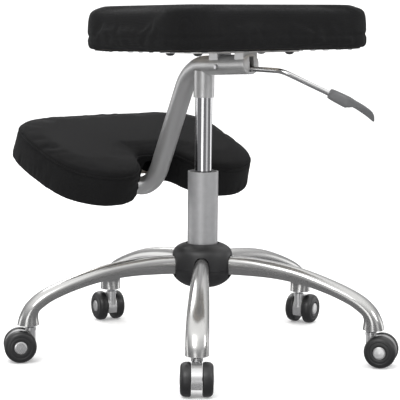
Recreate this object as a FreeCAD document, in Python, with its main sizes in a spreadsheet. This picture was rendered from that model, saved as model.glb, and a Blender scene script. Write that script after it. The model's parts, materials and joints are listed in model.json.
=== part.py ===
import math
import os

import FreeCAD
import Part
import Sketcher
from FreeCAD import Placement, Rotation, Vector

# Kneeling massage chair on a gas lift. Millimetres.
# Origin: on the floor, on the lift column's axis. +Z up, the knees go towards -Y, the seat is over +Y.

doc = FreeCAD.newDocument("kneeling_massage_chair")
sheet = doc.addObject("Spreadsheet::Sheet", "sizes")

SIZES = (
    # alias, value, meaning
    ("stem_circle", 288, "radius of the circle through the five caster stems"),
    ("first_leg_angle", 50.7, "angle of leg 1 from +X"),
    ("leg_low", 128, "underside of a leg at the hub"),
    ("leg_high", 163, "top of a leg at the hub"),
    ("leg_hub_width", 23, "width of a leg at the hub"),
    ("leg_wall", 2.6, "wall of the hollow leg"),
    ("foot_radius", 17.5, "radius of the hood at the end of a leg"),
    ("foot_bottom", 59, "lower edge of the hood"),
    ("stem_socket_radius", 8, "outside of the stem's socket"),
    ("stem_socket_bottom", 58, "mouth of the stem's socket"),
    ("stem_radius", 5, "caster stem"),
    ("stem_bottom", 29, "lower end of the stem"),
    ("stem_top", 82.5, "upper end of the stem"),
    ("collar_radius", 6, "dark collar on the stem"),
    ("caster_trail", 17, "stem axis to axle"),
    ("wheel_radius", 26, "caster wheel"),
    ("wheel_width", 16.5, "width of one wheel"),
    ("wheel_round", 5, "rounding of the tyre's edges"),
    ("caster_body_width", 16, "hood between the two wheels"),
    ("caster_body_radius", 24.5, "outside of that hood"),
    ("caster_boss_top", 55, "top of the hood's swivel boss"),
    ("wheel_gap", 0.4, "hood to wheel"),
    ("axle_radius", 3, "wheel axle"),
    ("axle_cap_radius", 10, "bright cap on the axle's end"),
    ("running_clearance", 0.05, "radial clearance of every running fit"),
    ("hub_radius", 38, "cast hub, where the legs are welded"),
    ("cover_radius", 50.5, "hub cover at its seam"),
    ("cover_wall", 2.2, "wall of the hub cover"),
    ("cover_seam", 140.5, "height of the seam between the two covers"),
    ("cover_top", 182.5, "top of the upper cover's collar"),
    ("cover_bottom", 110.5, "bottom of the lower cover"),
    ("column_radius", 25, "outside of the lift's outer tube"),
    ("column_inner", 23.5, "inside of the lift's outer tube"),
    ("column_bottom", 114.5, "bottom of the outer tube"),
    ("column_top", 301.2, "top of the outer tube"),
    ("cylinder_radius", 14, "chrome cylinder"),
    ("cylinder_inner", 12, "inside of the cylinder"),
    ("cylinder_bottom", 201.5, "bottom of the cylinder, lift fully up"),
    ("cylinder_top", 451.5, "top of the cylinder"),
    ("guide_bottom", 221.5, "bottom of the column's guide bushing"),
    ("rod_radius", 5, "piston rod"),
    ("rod_end_radius", 4, "piston rod below its shoulder"),
    ("rod_shoulder", 125.5, "shoulder of the piston rod"),
    ("rod_bottom", 107.5, "lower end of the piston rod"),
    ("piston_low", 210.5, "underside of the piston"),
    ("piston_high", 220.5, "top of the piston"),
    ("button_radius", 4, "valve button on top of the cylinder"),
    ("button_top", 469.8, "top of the valve button"),
    ("socket_radius", 17, "socket that takes the cylinder"),
    ("socket_bottom", 422.5, "mouth of the socket"),
    ("socket_top", 466.5, "top of the socket, against the frame tube"),
    ("tube_radius", 16, "frame tube"),
    ("tube_wall", 2, "wall of the frame tube"),
    ("tube_bend", 68, "centre-line radius of the frame tube's bends"),
    ("tube_rear", 117.5, "rear end of the frame tube, along Y"),
    ("tube_height", 474.5, "centre line of the frame tube above the column"),
    ("tube_slope", 3.36, "rise of the frame tube to the rear, degrees"),
    ("tube_lean", 26, "lean of the frame tube's long leg from upright, degrees"),
    ("tube_leg_y", -108.8, "a point on the long leg's centre line, along Y"),
    ("tube_leg_z", 320.3, "height of that point"),
    ("tube_knee_run", 125, "run of the tube under the knee pad, from its lower corner"),
    ("seat_width", 404, "seat, side to side"),
    ("seat_length", 294, "seat, front to rear"),
    ("seat_corner", 60, "corner radius of the seat"),
    ("seat_thickness", 69, "seat cushion with its board"),
    ("seat_centre", 62, "centre of the seat behind the column"),
    ("seat_height", 501.2, "underside of the seat above the column"),
    ("seat_tilt", 1.5, "rise of the seat to the rear, degrees"),
    ("board_thickness", 12, "plywood boards"),
    ("board_inset", 14, "board's edge inside the cushion's edge"),
    ("edge_round", 14, "rounding of the cushions' upper edges"),
    ("plate_width", 205, "seat plate, side to side"),
    ("plate_length", 106, "seat plate, front to rear"),
    ("plate_centre", 68, "centre of the seat plate behind the column"),
    ("plate_thickness", 5, "seat plate"),
    ("seat_bolt_x", 93.5, "half the seat bolts' spacing across"),
    ("seat_bolt_y", 35.5, "half the seat bolts' spacing along"),
    ("bolt_radius", 3, "shank of the board bolts"),
    ("bolt_head_radius", 7.5, "round head of the board bolts"),
    ("bolt_head_height", 4.5, "height of that head"),
    ("bracket_width", 28, "saddle brackets between tube and seat plate"),
    ("bracket_length", 22, "length of each saddle bracket"),
    ("bracket_front", 30, "front end of the front bracket"),
    ("bracket_rear", 95, "front end of the rear bracket"),
    ("knee_tilt", 20, "rise of the knee pad to the front, degrees"),
    ("knee_notch_y", -150.2, "inner end of the knee pad's notch at its underside"),
    ("knee_notch_z", 264.4, "height of that point"),
    ("knee_thickness", 65, "knee cushion with its board"),
    ("knee_slot", 40, "depth of the knee pad's slot for the frame tube"),
    ("knee_slot_width", 36, "width of that slot"),
    ("knee_slot_height", 39, "height of that slot in the knee cushion"),
    ("knee_plate_thickness", 3.5, "steel plate under the knee board"),
    ("knee_plate_width", 130, "that plate, side to side"),
    ("knee_plate_length", 70, "that plate, front to rear"),
    ("knee_plate_start", 54, "rear edge of that plate, from the notch"),
    ("knee_bolt_x", 50, "half the knee bolts' spacing across"),
    ("knee_bolt_y", 23, "half the knee bolts' spacing along"),
    ("lever_radius", 4, "lever rod"),
    ("lever_height", 474.2, "height of the lever rod's straight part"),
    ("lever_inner", -7, "inner end of the lever rod, past the button"),
    ("lever_pivot", 51, "pivot pin behind the column"),
    ("lever_bend", 194, "where the lever rod turns down and to the right"),
    ("lever_turn", 52, "turn of the lever to the user's right, degrees"),
    ("lever_drop", 25, "drop of the lever's outer run, degrees"),
    ("lever_bend_radius", 24, "centre-line radius of that turn"),
    ("lever_run", 120, "outer run of the rod, into the handle"),
    ("handle_start", 80, "start of the handle on the outer run"),
    ("handle_length", 82, "handle"),
    ("handle_width", 28, "width of the handle's blade"),
    ("pin_radius", 2.5, "lever's pivot pin"),
    ("cap_slot_width", 8.8, "slot in the tube's end cap"),
    ("cap_slot_height", 24, "height of that slot"),
)
for row, (alias, number, meaning) in enumerate(SIZES, 1):
    sheet.set(f"A{row}", meaning)
    sheet.set(f"B{row}", str(number))
    sheet.setAlias(f"B{row}", alias)
doc.recompute()

X_AXIS = Vector(1, 0, 0)
Y_AXIS = Vector(0, 1, 0)
Z_AXIS = Vector(0, 0, 1)
NODES = []


def size(term):
    """A number as it is, or the value of the cell with that alias."""
    return float(sheet.get(term)) if isinstance(term, str) else float(term)


def node(thing, label):
    """Keep this object as the sub-part of that name."""
    thing.Label = label
    NODES.append(thing)
    return thing


def turn(axis, degrees, base=Vector()):
    return Placement(base, Rotation(axis, degrees))


def move(across=0, along=0, up=0):
    return Placement(Vector(across, along, up), Rotation())


# ---- sketches and features -------------------------------------------------------------------

def new_body(name, placement=Placement()):
    body = doc.addObject("PartDesign::Body", name)
    body.Placement = placement
    return body


def attach(body, sketch, role, offset=0.0):
    plane = next(f for f in body.Origin.OriginFeatures if f.Role == role)
    sketch.AttachmentSupport = [(plane, "")]
    sketch.MapMode = "FlatFace"
    sketch.AttachmentOffset = move(up=offset)


def draw(body, name, role, geometry, offset=0.0):
    sketch = body.newObject("Sketcher::SketchObject", name)
    attach(body, sketch, role, offset)
    sketch.addGeometry(geometry, False)
    return sketch


def flat(point):
    return Vector(size(point[0]), size(point[1]), 0)


def polygon(points):
    ends = [flat(p) for p in points]
    return [Part.LineSegment(a, b) for a, b in zip(ends, ends[1:] + ends[:1])]


def circle(across, up, radius):
    return Part.Circle(Vector(across, up, 0), Z_AXIS, radius)


def arc(across, up, radius, start, end):
    """An arc, anticlockwise from start to end, in degrees."""
    return Part.ArcOfCircle(circle(across, up, radius), math.radians(start), math.radians(end))


def line(start, end):
    return Part.LineSegment(flat(start), flat(end))


def spline(points):
    curve = Part.BSplineCurve()
    curve.interpolate([flat(p) for p in points])
    return curve


def rounded_rectangle(width, length, corner, centre=0.0):
    half_x = width / 2 - corner
    half_y = length / 2 - corner
    edges = []
    for quarter, (sign_x, sign_y) in enumerate(((1, 1), (-1, 1), (-1, -1), (1, -1))):
        start = 90 * quarter
        edges.append(arc(sign_x * half_x, centre + sign_y * half_y, corner, start, start + 90))
    ends = [(e.EndPoint, f.StartPoint) for e, f in zip(edges, edges[1:] + edges[:1])]
    return edges + [Part.LineSegment(a, b) for a, b in ends]


def tie_to_sheet(sketch, points):
    """Bind each corner of a polygon sketch that is given by an alias to its cell."""
    for corner in range(len(points)):
        following = (corner + 1) % len(points)
        sketch.addConstraint(Sketcher.Constraint("Coincident", corner, 2, following, 1))
    for corner, point in enumerate(points):
        for kind, term in zip(("DistanceX", "DistanceY"), point):
            if not isinstance(term, str):
                continue
            index = sketch.addConstraint(Sketcher.Constraint(kind, -1, 1, corner, 1, size(term)))
            name = f"{kind.lower()}_{corner}"
            sketch.renameConstraint(index, name)
            sketch.setExpression(f"Constraints.{name}", f"sizes.{term}")


def turned(name, points, placement=Placement()):
    """A body turned about its own Z axis from corners given as (radius, height)."""
    body = new_body(name, placement)
    sketch = draw(body, name + "_profile", "XZ_Plane", polygon(points))
    tie_to_sheet(sketch, points)
    spin = body.newObject("PartDesign::Revolution", name + "_turned")
    spin.Profile = sketch
    spin.ReferenceAxis = (sketch, ["V_Axis"])
    spin.Angle = 360
    return body


def pad(body, sketch, length, both_sides=False):
    feature = body.newObject("PartDesign::Pad", sketch.Name + "_pad")
    feature.Profile = sketch
    feature.setExpression("Length", length)
    feature.SideType = "Symmetric" if both_sides else "One side"
    return feature


def pocket(body, sketch, length, both_sides=False, reverse=False):
    """Cut the sketch out of the body, and stop if it cuts nothing."""
    doc.recompute()
    before = body.Shape.Volume
    feature = body.newObject("PartDesign::Pocket", sketch.Name + "_pocket")
    feature.Profile = sketch
    feature.setExpression("Length", length)
    feature.SideType = "Symmetric" if both_sides else "One side"
    feature.Reversed = reverse
    doc.recompute()
    if body.Shape.Volume > before - 0.1:
        raise SystemExit(f"{feature.Name} cuts nothing")
    return feature


def round_edges(body, feature, radius, wanted):
    """Fillet the feature's edges that wanted picks."""
    doc.recompute()
    names = [f"Edge{i}" for i, edge in enumerate(feature.Shape.Edges, 1) if wanted(edge)]
    fillet = body.newObject("PartDesign::Fillet", feature.Name + "_round")
    fillet.Base = (feature, names)
    fillet.setExpression("Radius", radius)
    return fillet


def primitive(kind, name, placement=Placement(), **sizes):
    """A Part primitive; each size is an expression."""
    thing = doc.addObject("Part::" + kind, name)
    for key, expression in sizes.items():
        thing.setExpression(key, expression)
    thing.Placement = placement
    return thing


def rod(name, radius, length, placement=Placement()):
    return primitive("Cylinder", name, placement, Radius=radius, Height=length)


def box(name, low, high, placement=Placement()):
    """A box between two corners of its own frame."""
    thing = doc.addObject("Part::Box", name)
    thing.Length, thing.Width, thing.Height = (h - w for w, h in zip(low, high))
    thing.Placement = placement * move(*low)
    return thing


def cut(name, base, tool):
    thing = doc.addObject("Part::Cut", name)
    thing.Base = base
    thing.Tool = tool
    return thing


def fuse(name, *things):
    thing = doc.addObject("Part::MultiFuse", name)
    thing.Shapes = list(things)
    return thing


def group(name, things):
    """Separate solids that share one node."""
    thing = doc.addObject("Part::Compound", name)
    thing.Links = things
    return thing


def rounded_path(points, radii):
    """A wire through the points, with an arc of the given radius at each inner point."""
    edges = []
    start = points[0]
    for before, corner, after, radius in zip(points, points[1:], points[2:], radii):
        back = (before - corner).normalize()
        ahead = (after - corner).normalize()
        half = back.getAngle(ahead) / 2
        reach = radius / math.tan(half)
        inward = (back + ahead).normalize()
        middle = corner + inward * (radius / math.sin(half) - radius)
        first = corner + back * reach
        last = corner + ahead * reach
        edges.append(Part.LineSegment(start, first).toShape())
        edges.append(Part.Arc(first, middle, last).toShape())
        start = last
    edges.append(Part.LineSegment(start, points[-1]).toShape())
    return Part.Wire(edges)


def swept(name, path, radius, placement):
    """A round bar along a path; placement puts the section at the path's start."""
    spine = doc.addObject("Part::Feature", name + "_path")
    spine.Shape = path
    section = primitive("Circle", name + "_section", placement, Radius=radius)
    sweep = doc.addObject("Part::Sweep", name)
    sweep.Sections = [section]
    sweep.Spine = (spine, [f"Edge{i + 1}" for i in range(len(path.Edges))])
    sweep.Solid = True
    return sweep


# ---- casters ---------------------------------------------------------------------------------

CLEAR = size("running_clearance")
AXLE_HEIGHT = size("wheel_radius")
HALF_BODY = size("caster_body_width") / 2
WHEEL_INNER = HALF_BODY + size("wheel_gap")
WHEEL_OUTER = WHEEL_INNER + size("wheel_width")
CAP_RECESS = 1.4


def caster_body(name, frame):
    """The bright hood between the wheels, with its swivel boss and the axle's bore."""
    body = new_body(name, frame)
    outer = size("caster_body_radius")
    flat_cut = 11.0
    trail = size("caster_trail")
    low_angle = math.degrees(math.asin(flat_cut / outer))
    reach = outer * math.cos(math.radians(low_angle))
    chord = AXLE_HEIGHT - flat_cut
    side = [arc(trail, AXLE_HEIGHT, outer, -low_angle, 180 + low_angle),
            line((trail - reach, chord), (trail + reach, chord))]
    pad(body, draw(body, name + "_side", "XZ_Plane", side), "sizes.caster_body_width", True)
    boss_low = 30.0
    boss = draw(body, name + "_boss", "XY_Plane", [circle(0, 0, HALF_BODY - 0.1)], boss_low)
    pad(body, boss, f"sizes.caster_boss_top - {boss_low}")
    flange_low = 50.0
    flange = draw(body, name + "_flange", "XY_Plane", [circle(0, 0, 9)], flange_low)
    pad(body, flange, f"sizes.caster_boss_top - {flange_low}")
    bore = draw(body, name + "_bore", "XY_Plane", [circle(0, 0, size("stem_radius") + CLEAR)],
                size("caster_boss_top"))
    pocket(body, bore, "sizes.caster_boss_top - sizes.stem_bottom + 1")
    axle = draw(body, name + "_axle", "XZ_Plane", [circle(trail, AXLE_HEIGHT, size("axle_radius"))])
    pocket(body, axle, "sizes.caster_body_width + 2", True)
    return body


def caster_wheel(name, frame):
    """One wheel, turned from its inner face (height 0) to its outer face."""
    body = new_body(name, frame)
    bore = size("axle_radius") + CLEAR
    radius = size("wheel_radius")
    width = size("wheel_width")
    edge = size("wheel_round")
    recess = size("axle_cap_radius") + 0.5
    floor = width - CAP_RECESS
    profile = [
        line((bore, 0), (radius - edge, 0)),
        arc(radius - edge, edge, edge, -90, 0),
        line((radius, edge), (radius, width - edge)),
        arc(radius - edge, width - edge, edge, 0, 90),
        line((radius - edge, width), (recess, width)),
        line((recess, width), (recess, floor)),
        line((recess, floor), (bore, floor)),
        line((bore, floor), (bore, 0)),
    ]
    sketch = draw(body, name + "_profile", "XZ_Plane", profile)
    spin = body.newObject("PartDesign::Revolution", name + "_turned")
    spin.Profile = sketch
    spin.ReferenceAxis = (sketch, ["V_Axis"])
    spin.Angle = 360
    return body


def caster(number, leg_angle, trail_angle):
    """A stem caster with twin wheels, which trails outwards along trail_angle."""
    name = f"caster_{number}"
    place = turn(Z_AXIS, leg_angle) * move(across=size("stem_circle"))
    frame = turn(Z_AXIS, trail_angle, place.Base)
    stem = (
        (0, "stem_bottom"), ("stem_radius", "stem_bottom"), ("stem_radius", 55.3),
        ("collar_radius", 55.3), ("collar_radius", "stem_socket_bottom"),
        ("stem_radius", "stem_socket_bottom"), ("stem_radius", "stem_top"), (0, "stem_top"),
    )
    node(turned(name + "_stem_turned", stem, frame), name + "_stem")
    node(caster_body(name + "_hood", frame), name + "_body")

    axle_place = frame * turn(X_AXIS, -90, Vector(size("caster_trail"), 0, AXLE_HEIGHT))
    axle_end = WHEEL_OUTER - CAP_RECESS + 0.2
    axle = rod(name + "_axle_bar", "sizes.axle_radius", f"{2 * axle_end}", axle_place * move(up=-axle_end))
    node(axle, name + "_axle")
    caps = []
    for side, tilt in (("left", -90), ("right", 90)):
        outward = frame * turn(X_AXIS, tilt, Vector(size("caster_trail"), 0, AXLE_HEIGHT))
        wheel = caster_wheel(f"{name}_{side}", outward * move(up=WHEEL_INNER))
        node(wheel, f"{name}_wheel_{side}")
        cap = ((0, 0), ("axle_cap_radius", 0), ("axle_cap_radius", 0.9), (8, 1.6), (0, 1.9))
        caps.append(turned(f"{name}_{side}_cap", cap, outward * move(up=axle_end)))
    node(group(name + "_caps", caps), name + "_axle_caps")


TRAIL_ANGLES = (52, 128, 202.6, 258.8, 331.5)
LEGS = 5
LEG_STEP = 360 / LEGS
for index, trail_angle in enumerate(TRAIL_ANGLES):
    caster(index + 1, size("first_leg_angle") + LEG_STEP * index, trail_angle)


# ---- legs: hollow castings, open underneath --------------------------------------------------

def leg(number, angle):
    """One leg along its own X axis, from the hub to the hood over the caster's stem."""
    name = f"leg_{number}"
    body = new_body(name + "_casting", turn(Z_AXIS, angle))
    start = size("hub_radius")
    low = size("leg_low")
    high = size("leg_high")
    tip = size("stem_circle") + 4 + size("foot_radius")
    foot = size("foot_bottom")
    inner_foot = tip - 2 * size("foot_radius")
    crest = ((start, high), (92, high - 1), (161, 152.3), (221, 134.5), (268, 114.5), (293, 95), (305, 75),
             (tip, foot))
    belly = ((inner_foot, foot), (inner_foot + 1, 77.5), (266, 88), (245, 99), (213, 111.1),
             (172, 121.5), (120, 127.5), (start, low))
    side = [spline(crest), line(crest[-1], belly[0]), spline(belly), line(belly[-1], crest[0])]
    pad(body, draw(body, name + "_side", "XZ_Plane", side), "2 * sizes.foot_radius", True)

    # plan: narrow at the hub, round at the foot
    half = size("leg_hub_width") / 2
    round_x = tip - size("foot_radius")
    lean = math.degrees(math.asin((size("foot_radius") - half) / (round_x - start)))
    touch_x = round_x - size("foot_radius") * math.sin(math.radians(lean))
    touch_y = size("foot_radius") * math.cos(math.radians(lean))
    plan = [
        line((start, -half), (touch_x, -touch_y)),
        arc(round_x, 0, size("foot_radius"), lean - 90 - 2 * lean, 90 + lean),
        line((touch_x, touch_y), (start, half)),
        line((start, half), (start, -half)),
    ]
    around = polygon(((start - 20, -40), (tip + 20, -40), (tip + 20, 40), (start - 20, 40)))
    outside = draw(body, name + "_plan", "XY_Plane", around + plan, high + 10)
    pocket(body, outside, "sizes.leg_high + 20")

    # hollow: narrow along the leg, wide and round under the hood
    wall = size("leg_wall")
    channel_start = 62
    roof = ((channel_start, high - wall), (92, high - 1 - wall), (160, 152.3 - wall),
            (220, 134.5 - wall), (267, 114.5 - wall), (290.5, 94 - wall / 2), (302, 74),
            (tip - wall, foot))
    floor = foot - 20
    channel = [spline(roof), line(roof[-1], (tip - wall, floor)),
               line((tip - wall, floor), (channel_start, floor)),
               line((channel_start, floor), roof[0])]
    hollow = draw(body, name + "_channel", "XZ_Plane", channel)
    pocket(body, hollow, "sizes.leg_hub_width - 2 * sizes.leg_wall", True)
    hood_high = 73.0
    hood = draw(body, name + "_hood", "XY_Plane", [circle(round_x, 0, size("foot_radius") - wall)],
                hood_high)
    pocket(body, hood, f"{hood_high} - sizes.foot_bottom + 5")

    # socket for the stem
    stem_x = size("stem_circle")
    socket = draw(body, name + "_socket", "XY_Plane",
                  [circle(stem_x, 0, size("stem_socket_radius"))], size("stem_socket_bottom"))
    pad(body, socket, "sizes.stem_top - sizes.stem_socket_bottom + 3")
    bore = draw(body, name + "_bore", "XY_Plane", [circle(stem_x, 0, size("stem_radius"))],
                size("stem_socket_bottom"))
    pocket(body, bore, "sizes.stem_top - sizes.stem_socket_bottom", reverse=True)
    return node(body, name)


for index in range(LEGS):
    leg(index + 1, size("first_leg_angle") + LEG_STEP * index)


# ---- hub, its two covers and the gas lift ----------------------------------------------------

hub_low = size("leg_low") - 2
hub_high = size("leg_high") + 1
node(turned("hub_casting", (
    ("column_radius", hub_low), ("hub_radius", hub_low), ("hub_radius", hub_high),
    ("column_radius", hub_high))), "hub_core")


def leg_windows(name, low, high):
    """A box at each leg, where it comes out of the cover."""
    half = size("leg_hub_width") / 2 + 1
    boxes = []
    for index in range(LEGS):
        place = turn(Z_AXIS, size("first_leg_angle") + LEG_STEP * index)
        boxes.append(box(f"{name}_{index}", (28, -half, low), (70, half, high), place))
    return fuse(name, *boxes)


def cover_shell(name, outer):
    """A turned shell whose inside follows its outside by the wall."""
    wall = size("cover_wall")
    inner = [(size(radius) - wall, height) for radius, height in reversed(outer)]
    return turned(name, list(outer) + inner)


seam = size("cover_seam")
top = size("cover_top")
upper = cover_shell("upper_shell", (
    ("cover_radius", seam), (50, 156), (48.8, 165), (46, 171.5), (40, 176.5), (31, 181), (27.4, top)))
node(cut("upper_cover", upper, leg_windows("upper_windows", seam - 1, size("leg_high") + 1)),
     "hub_cover_upper")
low = size("cover_bottom")
lower = cover_shell("lower_shell", (
    (29, low), (36, low + 2), (44, low + 12), ("cover_radius", seam)))
node(cut("lower_cover", lower, leg_windows("lower_windows", size("leg_low") - 1, seam + 1)),
     "hub_cover_lower")

shoulder = size("rod_shoulder")
flange_top = size("column_bottom") + 3
rod_hole = size("rod_end_radius") + CLEAR
node(turned("outer_tube", (
    (rod_hole, "column_bottom"), ("column_radius", "column_bottom"), ("column_radius", "column_top"),
    ("column_inner", "column_top"), ("column_inner", flange_top), (rod_hole, flange_top))),
    "column_tube")
node(turned("guide", (
    (size("cylinder_radius") + CLEAR, "guide_bottom"), ("column_inner", "guide_bottom"),
    ("column_inner", size("column_top") - 1.5),
    (size("cylinder_radius") + CLEAR, size("column_top") - 1.5))), "column_bushing")
node(turned("bearing", (
    (rod_hole, flange_top), (12, flange_top), (12, shoulder - 0.05), (rod_hole, shoulder - 0.05))),
    "thrust_bearing")
clip_top = size("column_bottom") - 0.3
clip_low = clip_top - 1.5
node(turned("rod", (
    (0, "rod_bottom"), ("rod_end_radius", "rod_bottom"), ("rod_end_radius", clip_low),
    (3.2, clip_low), (3.2, clip_top), ("rod_end_radius", clip_top),
    ("rod_end_radius", "rod_shoulder"), ("rod_radius", "rod_shoulder"),
    ("rod_radius", "piston_low"), (size("cylinder_inner") - CLEAR, "piston_low"),
    (size("cylinder_inner") - CLEAR, "piston_high"), (0, "piston_high"))), "piston_rod")
node(turned("clip", (
    (3.2, clip_low), (7.5, clip_low), (7.5, clip_top), (3.2, clip_top))), "retaining_clip")

seal_high = size("cylinder_bottom") + 8
roof_low = size("cylinder_top") - 8
button_hole = size("button_radius") + CLEAR
rod_seal = size("rod_radius") + CLEAR
cylinder_shell = turned("cylinder_shell", (
    (rod_seal, "cylinder_bottom"), ("cylinder_radius", "cylinder_bottom"),
    ("cylinder_radius", "cylinder_top"), (button_hole, "cylinder_top"), (button_hole, roof_low),
    ("cylinder_inner", roof_low), ("cylinder_inner", seal_high), (rod_seal, seal_high)))
node(cylinder_shell, "gas_cylinder")
node(turned("button", (
    (0, roof_low - 4), (7, roof_low - 4), (7, roof_low - 0.4), ("button_radius", roof_low - 0.4),
    ("button_radius", "button_top"), (0, "button_top"))), "release_button")


# ---- frame tube ------------------------------------------------------------------------------

slope = math.radians(size("tube_slope"))
lean = math.radians(size("tube_lean"))
knee_tilt = math.radians(size("knee_tilt"))
ALONG_TUBE = Vector(0, math.cos(slope), math.sin(slope))
ALONG_KNEE = Vector(0, -math.cos(knee_tilt), math.sin(knee_tilt))
KNEE_UP = Vector(0, math.sin(knee_tilt), math.cos(knee_tilt))
NOTCH = Vector(0, size("knee_notch_y"), size("knee_notch_z"))


def tube_point(along):
    """A point on the centre line of the tube's rear run."""
    return Vector(0, along, size("tube_height") + along * math.tan(slope))


def crossing(point, direction, other, other_direction):
    """Where two lines in the plane X = 0 meet."""
    gap = other - point
    across = direction.y * other_direction.z - direction.z * other_direction.y
    reach = (gap.y * other_direction.z - gap.z * other_direction.y) / across
    return point + direction * reach


# the run under the knee pad touches the knee plate from below
knee_line = NOTCH - KNEE_UP * (size("knee_plate_thickness") + size("tube_radius"))
leg_point = Vector(0, size("tube_leg_y"), size("tube_leg_z"))
leg_direction = Vector(0, -math.sin(lean), -math.cos(lean))
upper_corner = crossing(leg_point, leg_direction, tube_point(0), ALONG_TUBE)
lower_corner = crossing(leg_point, leg_direction, knee_line, ALONG_KNEE)
tube_path = rounded_path(
    [tube_point(size("tube_rear")), upper_corner, lower_corner,
     lower_corner + ALONG_KNEE * size("tube_knee_run")],
    [size("tube_bend"), size("tube_bend")])
tube_start = Placement(tube_point(size("tube_rear")), Rotation(Z_AXIS, -ALONG_TUBE))
tube_bar = swept("tube_outside", tube_path, "sizes.tube_radius", tube_start)
tube_core = swept("tube_inside", tube_path, "sizes.tube_radius - sizes.tube_wall", tube_start)
pin_place = turn(Y_AXIS, 90, Vector(-30, size("lever_pivot"), size("lever_height")))
button_way = rod("button_way", "6", "30", move(up=size("socket_top") - 25))
pin_way = rod("pin_way", "sizes.pin_radius", "60", pin_place)
node(cut("tube", tube_bar, fuse("tube_openings", tube_core, button_way, pin_way)), "frame_tube")

socket_block = rod("socket_block", "sizes.socket_radius", "sizes.socket_top - sizes.socket_bottom",
                   move(up=size("socket_bottom")))
cylinder_way = rod("cylinder_way", "sizes.cylinder_radius", "sizes.cylinder_top - sizes.socket_bottom",
                   move(up=size("socket_bottom")))
button_gap = rod("button_gap", "6", "30", move(up=size("socket_top") - 25))
socket_bored = cut("socket_bored", socket_block, fuse("socket_openings", cylinder_way, button_gap))
node(cut("socket", socket_bored, tube_bar), "tube_socket")

# end cap: a domed face, a plug inside the tube, and an upright slot for the lever
cap_frame = Placement(tube_point(size("tube_rear")), Rotation(Z_AXIS, ALONG_TUBE))
plug = size("tube_radius") - size("tube_wall")
cap_body = turned("cap_body", (
    (0, -14), (plug, -14), (plug, 0), ("tube_radius", 0), ("tube_radius", 2), (13, 3.4), (0, 4)),
    cap_frame)
slot_half = size("cap_slot_width") / 2
slot_low = -size("cap_slot_height") / 2
slot_tool = box("cap_slot", (-slot_half, -20, slot_low), (slot_half, 30, -slot_low),
                turn(X_AXIS, size("tube_slope"), tube_point(size("tube_rear"))))
node(cut("cap", cap_body, slot_tool), "end_cap")


# ---- lever -----------------------------------------------------------------------------------

turn_angle = math.radians(size("lever_turn"))
drop = math.radians(size("lever_drop"))
OUT = Vector(-math.sin(turn_angle) * math.cos(drop), math.cos(turn_angle) * math.cos(drop), -math.sin(drop))
lever_start = Vector(0, size("lever_inner"), size("lever_height"))
lever_corner = Vector(0, size("lever_bend"), size("lever_height"))
lever_path = rounded_path(
    [lever_start, lever_corner, lever_corner + OUT * size("lever_run")], [size("lever_bend_radius")])
lever_bar = swept("lever_bar", lever_path, "sizes.lever_radius",
                  Placement(lever_start, Rotation(Z_AXIS, Y_AXIS)))
eye_place = turn(Y_AXIS, 90, Vector(-6, size("lever_pivot"), size("lever_height")))
lever_eye = rod("lever_eye", "6", "12", eye_place)
lever_hole = rod("lever_hole", f"sizes.pin_radius + {CLEAR}", "60", pin_place)
node(cut("lever_with_hole", fuse("lever_with_eye", lever_bar, lever_eye), lever_hole), "lever_rod")

# handle: a clip around the rod, then a thin blade that curves down to its end
level = Z_AXIS.cross(OUT).normalize()
handle_up = OUT.cross(level)
handle_frame = Placement(lever_corner, Rotation(OUT, level, handle_up, "XYZ"))
handle_end = size("handle_start") + size("handle_length")
start = size("handle_start")
handle_body = new_body("handle_body", handle_frame)
handle_side = [
    spline(((start, 5.5), (start + 25, 7.5), (start + 55, 5.5), (handle_end, -8))),
    line((handle_end, -8), (handle_end - 4, -10)),
    spline(((handle_end - 4, -10), (start + 58, -1.5), (start + 44, -2))),
    line((start + 44, -2), (start + 40, -7.5)),
    line((start + 40, -7.5), (start + 2, -6.5)),
    line((start + 2, -6.5), (start, 5.5)),
]
handle_pad = pad(handle_body, draw(handle_body, "handle_side", "XZ_Plane", handle_side),
                 "sizes.handle_width", True)
rod_way = draw(handle_body, "handle_bore", "YZ_Plane", [circle(0, 0, size("lever_radius"))],
               start - 1)
pocket(handle_body, rod_way, "sizes.lever_run - sizes.handle_start + 1", reverse=True)
node(handle_body, "lever_handle")

pin_end = size("tube_radius") + 0.2
pin_head = 2.2
pin = (
    (0, -pin_end - pin_head), (3, -pin_end - pin_head), (4.5, -pin_end), ("pin_radius", -pin_end),
    ("pin_radius", pin_end), (4.5, pin_end), (3, pin_end + pin_head), (0, pin_end + pin_head),
)
node(turned("pin", pin, turn(Y_AXIS, 90, Vector(0, size("lever_pivot"), size("lever_height")))),
     "lever_pivot_pin")


# ---- seat ------------------------------------------------------------------------------------

SEAT = turn(X_AXIS, size("seat_tilt"), Vector(0, 0, size("seat_height")))
BOARD = "sizes.board_thickness"


def bolt(name, place, grip):
    """A round-headed bolt; its shank starts at the head's flat side and is grip long."""
    head = size("bolt_head_height")
    radius = size("bolt_head_radius")
    return turned(name, (
        (0, -head), (radius * 0.55, -head * 0.86), (radius * 0.87, -head * 0.5),
        ("bolt_head_radius", 0), ("bolt_radius", 0), ("bolt_radius", grip), (0, grip)), place)


def corners(half_x, half_y, centre):
    return [(i * half_x, centre + j * half_y) for i in (-1, 1) for j in (-1, 1)]


def holed(name, solid_thing, spots, radius, frame, low, height):
    """The solid with a round hole at each spot."""
    holes = [rod(f"{name}_{i}", radius, f"{height}", frame * move(x, y, low))
             for i, (x, y) in enumerate(spots)]
    return cut(name + "_drilled", solid_thing, fuse(name + "_holes", *holes))


def slab(name, outline, thickness, frame):
    """A flat body with that outline, standing on its frame's XY plane."""
    body = new_body(name, frame)
    pad(body, draw(body, name + "_outline", "XY_Plane", outline), thickness)
    return body


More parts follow.
